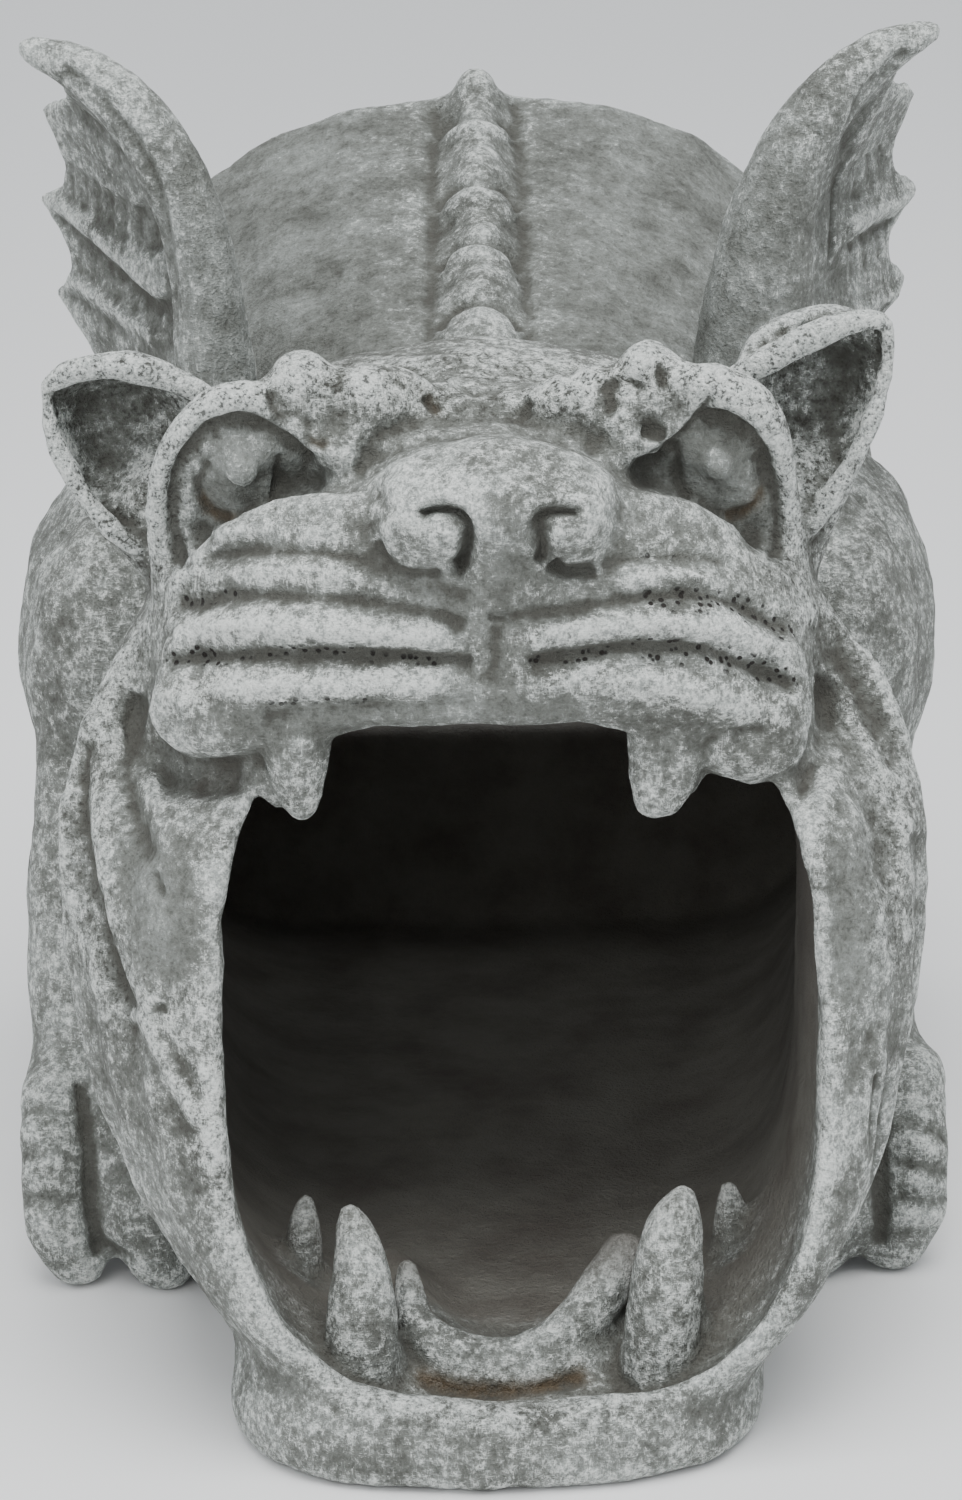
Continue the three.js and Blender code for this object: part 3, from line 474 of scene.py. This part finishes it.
stroke(1.3, 1.7, (-91, 271.5), (-83, 267.5), (-71.5, 256.5), (-62.5, 247.5), near=160, far=300)
stroke(-1.4, 1.5, (-88, 266.5), (-82, 263), (-71, 252.5), (-63, 244), near=160, far=300)
stroke(1, 1.5, (-88, 287), (-85.5, 283.5), (-77, 274.5), (-66, 267), near=160, far=300)
stroke(-1.6, 2.2, (-83, 289), (-76.5, 283), (-70, 275.5), (-65.4, 266), (-64.4, 256), near=180, far=300)
stroke(1.2, 1.7, (-89, 256), (-80, 251.5), (-70, 244), (-63, 238.5), near=160, far=300)
stroke(-1.2, 1.5, (-86, 251), (-79, 246.6), (-70, 239.5), near=160, far=300)
for place in range(7):
    x, z = -80.5 + 2.6 * place, 277.5 - 1.9 * place
    stroke(-0.7, 0.9, (x, z), (x - 0.3, z - 6), (x - 0.6, z - 10.5), near=180, far=300)
    stroke(-0.5, 0.9, (x + 1, z - 17.5), (x + 0.7, z - 22), (x + 0.5, z - 26), near=180, far=300)
stroke(1.2, 1.6, (92, 290.5), (83.5, 287), (78, 282), (75.5, 276), near=160, far=300)
stroke(1.3, 1.7, (96, 270), (86.5, 266), (79.5, 262.5), (74.5, 259), near=160, far=300)
stroke(-1.4, 1.5, (93, 264.5), (86, 261.5), (79, 258), (74.4, 254.5), near=160, far=300)
stroke(1.3, 1.7, (92, 248.5), (83.5, 246), (77.5, 243), (73, 239.5), near=160, far=300)
stroke(-1.4, 1.5, (88, 243), (82, 240), (76, 236.5), near=160, far=300)
for place in range(6):
    x, z = 76.8 + 2.5 * place, 274 + 1.7 * place
    stroke(-0.7, 0.9, (x, z), (x, z - 5), (x, z - 9), near=180, far=300)
    stroke(-0.7, 0.9, (x - 0.5, z - 16.5), (x - 0.5, z - 21), (x - 0.5, z - 25), near=180, far=300)
stroke(-1.3, 1.3, (-82, 296), (-72.5, 287), (-65, 275), (-62, 262), (-62, 242), near=150, far=190)
stroke(-1.3, 1.3, (87, 296.5), (79.5, 288), (75, 278), (73, 265.5), (72, 245), near=150, far=200)


# --- The spine: overlapping plates up the back ---
# A thick roll with a groove down each side, cut across with a loop tool so that each plate
# stands up over the next.

PLATES = ((241, 246.4), (253.2, 259), (265.4, 270.8), (280.6, 284.4))
for low, high in PLATES:
    stroke(-1.5, 1.1, (-8, low), (-4.6, high - 1.6), (0.6, high), (5.8, high - 1.8), (9.2, low - 0.8),
           faded=0.8, near=110, far=335)
    stroke(1, 2, (-5.8, low - 3), (-3.6, high - 4), (0.6, high - 2.6), (5, high - 4.2), (7.2, low - 3.6),
           near=110, far=335)
stroke(-1.3, 1.8, (-7.4, 287), (-8.6, 275), (-8.8, 263), (-9.2, 247), (-9.6, 236), near=110, far=335)
stroke(-1.3, 1.8, (8.4, 288), (9.4, 277), (9.9, 263), (10.3, 246.5), (11, 236), near=110, far=335)


# --- Paws: knuckled fingers ---
# The fingers were parted with a knife and creased across at each joint.

stroke(-2.4, 1.8, (-87, 82), (-86, 66), (-85.8, 50), (-84, 38), faded=2, far=190)
stroke(-1, 1.8, (-103, 72), (-95, 74), (-87.5, 72), far=190)
stroke(-0.8, 1.6, (-102, 62.6), (-94, 64.4), (-87.5, 62), far=190)
stroke(-1, 1.7, (-102, 53), (-95.5, 53.6), (-88, 51), far=190)
stroke(0.8, 2.8, (-101, 67.6), (-93, 69), far=190)
stroke(0.8, 2.8, (-101, 58), (-93, 58.5), far=190)
stroke(1, 3.4, (-100, 46.6), (-91, 45.6), far=190)
stroke(-0.7, 1.7, (-84, 58), (-77, 59.4), (-73, 58), far=190)
stroke(-1, 1.8, (-84.6, 43.6), (-80, 40.4), (-73, 43.4), far=190)
stroke(-2.4, 1.8, (84, 80), (83.2, 62), (83.8, 48), (83.4, 37), faded=2, far=190)
stroke(-1, 1.8, (85, 69), (92.5, 66), (100, 61.6), far=190)
stroke(-0.8, 1.6, (85, 58.4), (92.6, 56.4), (100, 55), far=190)
stroke(-1, 1.8, (85, 50), (92.6, 48.6), (99, 49.6), far=190)
stroke(-0.9, 1.6, (85, 42), (92, 41.4), (97, 42.6), far=190)
stroke(0.9, 2.8, (87, 63.4), (97, 60), far=190)
stroke(0.9, 2.8, (87, 53.6), (98, 52), far=190)
look_again()


# --- Pits, chalk and stains ---
# There are pinholes along the creases, painted near black as the shade inside them, lime has bloomed
# on what stands out, and rain has left brown in the corners and the gutter of the mouth.

# inside marks the inside of the mouth, more the further back it lies; it carries painted shade there, and keeps the
# lumps low
x, y, z = points.T
roof = np.interp(y, (0, 40, 75, 120, 170, 230, 300, 320), (161, 161, 178, 188, 187, 201, 227, 234))
wall = np.interp(y, (5, 45, 120, 200, 320), (66, 71, 74, 80, 97))
within = (abs(x - 4.5) / wall) ** 3.2 + (abs(z - 98) / np.where(z > 98, roof - 98, 92)) ** 3.2 < 1
finish["inside"] = np.where(within, eased((y - 14 - 0.18 * z) / 34), 0)
rub("inside", -0.8, 5, (-40.5, 50), (-40.5, 34), near=55, far=76, faded=0)
rub("inside", -0.8, 5, (51.4, 51), (51.4, 34), near=55, far=76, faded=0)
rub("inside", -0.9, 9, (-20, 26), (0, 14), (24, 24), near=25, far=52, faded=0)

rub("calm", 0.8, 9, (-48, 206), (-48, 212), near=58, far=90, faded=0)
rub("calm", 0.8, 9, (48, 206), (48, 212), near=58, far=90, faded=0)
rub("coarse", 1, 9, (-63, 190), (-65, 205), (-58, 224), (-44, 230), (-30, 230), (-14, 228), (0, 231),
    (16, 228), (32, 231), (48, 229), (60, 222), (64, 205), (64, 190), near=50, far=150, faded=0)
rub("coarse", 1, 7, (-70, 235), (-84, 231), (-84, 212), (-74, 198), near=70, far=150, faded=0)
rub("coarse", 0.8, 7, (60, 236), (80, 240), (82, 226), (72, 204), near=70, far=150, faded=0)
rub("coarse", 0.7, 7, (70, 178), (77, 160), (84, 140), (86, 110), far=150, faded=0)
rub("coarse", 0.7, 6, (-72, 178), (-78, 160), (-83, 140), (-82, 115), (-74, 92), far=150, faded=0)
rub("coarse", 0.6, 6, (-62, 74), (-50, 38), (-30, 10), (0, 2), (30, 8), (50, 30), (66, 70), far=60, faded=0)

rub("coarse", -1, 9, (-48, 205), (-48, 212), near=58, far=90, faded=0)
rub("coarse", -1, 9, (48, 205), (48, 212), near=58, far=90, faded=0)

rub("pitted", 1, 1.8, (-66, 173), (-62, 173.5), (-57, 173), (-51, 172.5), faded=0.5)
rub("pitted", 0.6, 1.2, (-52, 173), (-40, 174), (-30, 174), (-20, 172), (-6, 171))
rub("pitted", 0.7, 1.4, (-63, 185), (-55, 185.5), (-48, 186.5))
rub("pitted", 0.5, 1.2, (-48, 162), (-38, 163), (-22, 163))
rub("pitted", 1, 2.6, (30, 172.5), (42, 172), (52, 170), (60, 167), (66, 164), faded=0.5)
rub("pitted", 0.8, 1.2, (9, 170.5), (20, 171.5), (30, 173))
rub("pitted", 1, 2.4, (32, 183), (42, 183), (52, 181.5), (60, 178), (65, 175), faded=0.5)
rub("pitted", 0.5, 1.4, (32, 192.5), (37, 193), (42, 193))

rub("chalk", 0.8, 4, (-66, 165), (-52, 166), (-33.5, 167), (-17, 167), (-6, 166.5))
rub("chalk", 0.7, 3.4, (-64, 179), (-50, 180), (-33.5, 178.6), (-17, 177), (-6, 176))
rub("chalk", 0.3, 6, (-52, 191), (-33, 191), (-20, 205), (0, 208), (20, 207))
rub("chalk", 0.3, 4, (8, 165), (20, 165.8), (34.5, 163), (51, 159), (63, 154))
rub("chalk", 0.4, 3, (8, 175), (20, 176.8), (34.5, 178.2), (49, 176.8), (60, 172.5))
rub("chalk", 0.4, 6, (-68, 110), (-64, 86), (-60, 62), far=90)
rub("chalk", 0.8, 3, (-64, 68), (-60, 62), far=90)
rub("chalk", 0.7, 4, (62, 72), (70, 60), (76, 50), far=90)
rub("chalk", 0.3, 5, (-68, 232), (-56, 229), (-34, 231), (-14, 226), near=50, far=120)
rub("chalk", 0.3, 5, (16, 226), (34, 232), (50, 228), (61, 215), near=50, far=120)
rub("chalk", 0.5, 2.4, (79, 240), (83, 238), near=70, far=120, faded=0)
rub("chalk", -0.9, 7, (-70, 128), (-67, 116), (-69, 108), far=90, faded=0)
rub("chalk", -0.7, 5, (-54, 160), (-40, 159.6), (-20, 160.6), (0, 161), (20, 160), far=60, faded=0)
rub("chalk", -0.5, 6, (-8, 187), (2, 182), (6, 196), (6, 204), far=60, faded=0)
rub("chalk", -0.8, 5, (76, 126), (76, 100), far=90, faded=0)
rub("chalk", -0.8, 10, (-50, 205), (-46, 212), near=58, far=90, faded=0)
rub("chalk", -0.8, 10, (50, 204), (47, 211), near=58, far=90, faded=0)
for left in (-48, -30, 28, 52):
    rub("chalk", -0.7, 16, (left, 285), (left, 262), (left, 238), near=150, far=340, faded=0)

rub("rust", 0.6, 1.1, (-57, 208), (-54.8, 204), (-50, 202), near=50, faded=0.5)
rub("rust", 0.6, 1.1, (50, 200.8), (55.6, 202.6), (57.6, 207), near=50, faded=0.5)
rub("rust", 0.4, 1.2, (-33.8, 218), (-31.6, 217.4), near=50, faded=0)
rub("rust", 0.3, 1, (-10.6, 227.5), (-9, 225), (-8.2, 223.5), near=50, faded=0)
rub("rust", 0.7, 2.4, (-19, 11), (-9, 7.6), (2, 6.6), (12, 7.6), (22, 10.6), far=50)
rub("wet", 1, 2.6, (-24, 12), (-14, 8.6), (-2, 6.8), (10, 7.4), far=50)


# --- The finished casting ---
# Released from the mould, it keeps every tool mark of the original. What stands out and what
# lies in a hollow is noted on each point for the finish, and the skin is thinned evenly to about MOST_TRIANGLES.

MOST_TRIANGLES = 194000


def lumps(size):
    """Lumps about `size` millimetres across, from -1 to 1, one value for each point."""
    return np.array([noise.noise(place) for place in (points / size + 7).tolist()])


def standing_out(smoothings, span):
    """How far each point stands out from the surface averaged around it, in shares of `span` millimetres."""
    flat = points
    for _ in range(smoothings):
        flat = averaged(flat, edges, 0.9)
    return np.clip(((points - flat) * normals).sum(1) / span, -1.5, 1.5)


look_again()
uneven = 0.45 * lumps(11) + 0.3 * lumps(5) + (0.12 + 0.3 * finish["coarse"]) * lumps(2.6)
points += normals * (uneven * (1 - 0.6 * finish["inside"]) * (1 - finish.pop("calm")))[:, None]
look_again()
finish["ridge"] = standing_out(5, 0.25)
finish["form"] = standing_out(40, 1.2)
for name, amounts in finish.items():
    gargoyle.data.attributes.new(name, "FLOAT", "POINT").data.foreach_set("value", amounts.astype(np.float32))

for polygon in gargoyle.data.polygons:
    polygon.use_smooth = True
thin = gargoyle.modifiers.new("thin", "DECIMATE")
thin.ratio = MOST_TRIANGLES / (2 * len(gargoyle.data.polygons))
whole = gargoyle.evaluated_get(bpy.context.evaluated_depsgraph_get())
gargoyle.data = bpy.data.meshes.new_from_object(whole)
gargoyle.modifiers.clear()
gargoyle.data.transform(Matrix.Translation((0, CHIN_FRONT, 0)) @ Matrix.Scale(0.001, 4))


# --- The stone's finish ---
# Cast stone left out in the rain: grey cement with painted shade in its hollows and pale lime on
# its ridges, dull all over. The grain is crushed stone of about a millimetre.


def linear(code):
    """A colour as #RRGGBB, made linear."""
    levels = [int(code[i:i + 2], 16) / 255 for i in (1, 3, 5)]
    return (*(v / 12.92 if v <= 0.04045 else ((v + 0.055) / 1.055) ** 2.4 for v in levels), 1)


def add(kind, sockets={}, **settings):
    """A node with its settings, and with values or links for its sockets."""
    made = tree.nodes.new("ShaderNode" + kind)
    for name, value in settings.items():
        setattr(made, name, value)
    for name, value in sockets.items():
        if isinstance(value, bpy.types.NodeSocket):
            tree.links.new(value, made.inputs[name])
        else:
            made.inputs[name].default_value = value
    return made


def maths(operation, *values):
    return add("Math", dict(enumerate(values)), operation=operation).outputs[0]


def noted(name):
    return add("Attribute", attribute_name=name).outputs["Fac"]


def cloudy(size, detail=4.0, rough=0.6, stretch=(1, 1, 1)):
    """Noise whose patches are about `size` millimetres across, from -0.5 to 0.5."""
    place = add("Mapping", {"Vector": here, "Scale": tuple(1000 / (size * s) for s in stretch)})
    patches = add("TexNoise", {"Vector": place.outputs[0], "Scale": 1.0, "Detail": detail, "Roughness": rough})
    return maths("SUBTRACT", patches.outputs["Fac"], 0.5)


def mixed(share, colour, over):
    made = add("Mix", {"Factor": share}, data_type="RGBA")
    for socket, value in ((made.inputs[6], colour), (made.inputs[7], over)):
        if isinstance(value, bpy.types.NodeSocket):
            tree.links.new(value, socket)
        else:
            socket.default_value = value
    return made.outputs[2]


def between(value, low, high):
    limits = {"Value": value, "From Min": low, "From Max": high}
    return add("MapRange", limits, interpolation_type="SMOOTHSTEP").outputs[0]


stone = bpy.data.materials.new("weathered_cast_stone")
stone.use_nodes = True
tree = stone.node_tree
tree.nodes.clear()
here = add("TexCoord").outputs["Object"]
height = add("SeparateXYZ", {"Vector": here}).outputs["Z"]
blotches = cloudy(22, 5.0, 0.6)
mottle = cloudy(6, 4.0, 0.65)
crumbs = cloudy(2, 3.0, 0.65)
grit = cloudy(0.7, 2.0, 0.6)


def summed(start, *parts):
    """start + weight * part + ..."""
    total = start
    for weight, part in parts:
        total = maths("MULTIPLY_ADD", part, weight, total)
    return total


DASH = 0.55  # the width of a bristle's mark in millimetres


def dashes(*stretch):
    """Short marks of a dry brush, longer along the stretched direction."""
    place = add("Mapping", {"Vector": here, "Scale": tuple(1000 / (DASH * s) for s in stretch)})
    marks = add("TexNoise", {
        "Vector": place.outputs[0], "Scale": 1.0, "Detail": 2.0, "Roughness": 0.55, "Distortion": 2.4,
    })
    return maths("SUBTRACT", marks.outputs["Fac"], 0.5)


brushed = maths("MAXIMUM", dashes(5, 2, 1), dashes(1, 2, 5))
rough_spots = noted("coarse")
# the cement itself; its form and ridge terms make it a little darker in the hollows, which is painted shade
tone = summed(0.5, (0.9, blotches), (0.7, mottle), (0.5, crumbs), (0.35, grit),
              (0.06, noted("form")), (0.04, noted("ridge")))
ramp = add("ValToRGB", {"Fac": tone})
stops = ((0.12, "#494843"), (0.34, "#62645F"), (0.5, "#777A75"), (0.66, "#8B8F8B"), (0.88, "#A5A9A4"))
for index, (place, code) in enumerate(stops):
    spot = ramp.color_ramp.elements[index] if index < 2 else ramp.color_ramp.elements.new(place)
    spot.position = place
    spot.color = linear(code)
# lime, dragged over whatever stands out
caught = summed(0.2, (0.12, noted("ridge")), (0.15, noted("form")), (0.04, noted("worked")), (0.34, noted("chalk")),
                (1.7, brushed), (1.1, crumbs), (0.9, mottle), (0.8, blotches), (0.12, rough_spots))
thickness = between(summed(0.5, (1.3, crumbs), (1.5, grit), (0.2, noted("chalk"))), 0.25, 0.8)
lime = mixed(thickness, linear("#A9AEAB"), linear("#E2E5E1"))
skin = mixed(between(caught, 0.28, 0.72), ramp.outputs["Color"], lime)
# painted shade, darkest in whatever lies deep and along the pressed creases
hollow_shade = summed(-0.1, (-0.3, noted("ridge")), (-0.32, noted("form")), (-0.12, noted("worked")),
              (-0.8, mottle), (-0.7, crumbs))
skin = mixed(maths("MULTIPLY", between(hollow_shade, 0.0, 0.8), 0.75), skin, linear("#4C4B45"))
specks = between(summed(0.0, (1, grit), (0.9, crumbs)), -0.08, -0.2)
pepper = maths("MULTIPLY", specks, summed(0.12, (0.7, rough_spots)))
skin = mixed(pepper, skin, linear("#35332E"))
skin = mixed(maths("MULTIPLY", noted("rust"), between(mottle, -0.25, 0.12)), skin, linear("#5E4A2E"))
# pinholes about 2 mm apart, painted near black: painted shade inside the pits
pinned = add("Mapping", {"Vector": here, "Scale": (560, 560, 470)})
holes = add("TexVoronoi", {"Vector": pinned.outputs[0], "Scale": 1.0})
shaded_pinhole = maths("MULTIPLY", between(holes.outputs["Distance"], 0.36, 0.22), between(noted("pitted"), 0.2, 0.5))
skin = mixed(shaded_pinhole, skin, linear("#241F1B"))
# painted shade inside the mouth: lighter low down, where light falls in on the floor, darker higher up
mouth_shade = mixed(between(height, 0.05, 0.16), linear("#7B7971"), linear("#564E48"))
mouth_shade = mixed(between(summed(0.5, (1.5, blotches)), 0.2, 0.9), mouth_shade, linear("#625D56"))
skin = mixed(noted("inside"), skin, mouth_shade)
bumps = summed(0.0, (0.8, mottle), (0.9, crumbs), (0.5, grit), (0.5, brushed), (-1.2, shaded_pinhole))
relief = add("Bump", {"Height": bumps, "Strength": 1.0, "Distance": 0.0014})
dullness = summed(0.9, (-0.65, noted("wet")))
surface = add("BsdfPrincipled", {"Base Color": skin, "Roughness": dullness, "Normal": relief.outputs[0]})
tree.links.new(surface.outputs[0], add("OutputMaterial").inputs["Surface"])
gargoyle.data.materials.clear()
gargoyle.data.materials.append(stone)
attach(gargoyle, "root")
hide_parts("gargoyle")


# --- Floor and light ---
# A pale floor, and soft light from above and in front.

shape = bmesh.new()
bmesh.ops.create_grid(shape, x_segments=1, y_segments=1, size=4)
floor = bpy.data.objects.new("floor", bpy.data.meshes.new("floor"))
shape.to_mesh(floor.data)
shape.free()
bpy.context.collection.objects.link(floor)
pale = bpy.data.materials.new("pale_floor")
pale.use_nodes = True
pale.node_tree.nodes["Principled BSDF"].inputs["Base Color"].default_value = (0.9, 0.9, 0.9, 1)
floor.data.materials.append(pale)


def lamp(name, place, size, watts):
    light = bpy.data.objects.new(name, bpy.data.lights.new(name, "AREA"))
    light.data.size = size
    light.data.energy = watts
    light.matrix_world = Matrix.Translation(place) @ (-Vector(place)).to_track_quat("-Z", "Y").to_matrix().to_4x4()
    bpy.context.collection.objects.link(light)


lamp("overhead", (0.1, -0.5, 1.6), 1.2, 26)
lamp("front", (-0.5, -1.6, 0.9), 1.0, 9)
sky = bpy.data.worlds.new("studio")
sky.use_nodes = True
sky.node_tree.nodes["Background"].inputs["Color"].default_value = (0.94, 0.97, 1, 1)
sky.node_tree.nodes["Background"].inputs["Strength"].default_value = 0.9
bpy.context.scene.world = sky
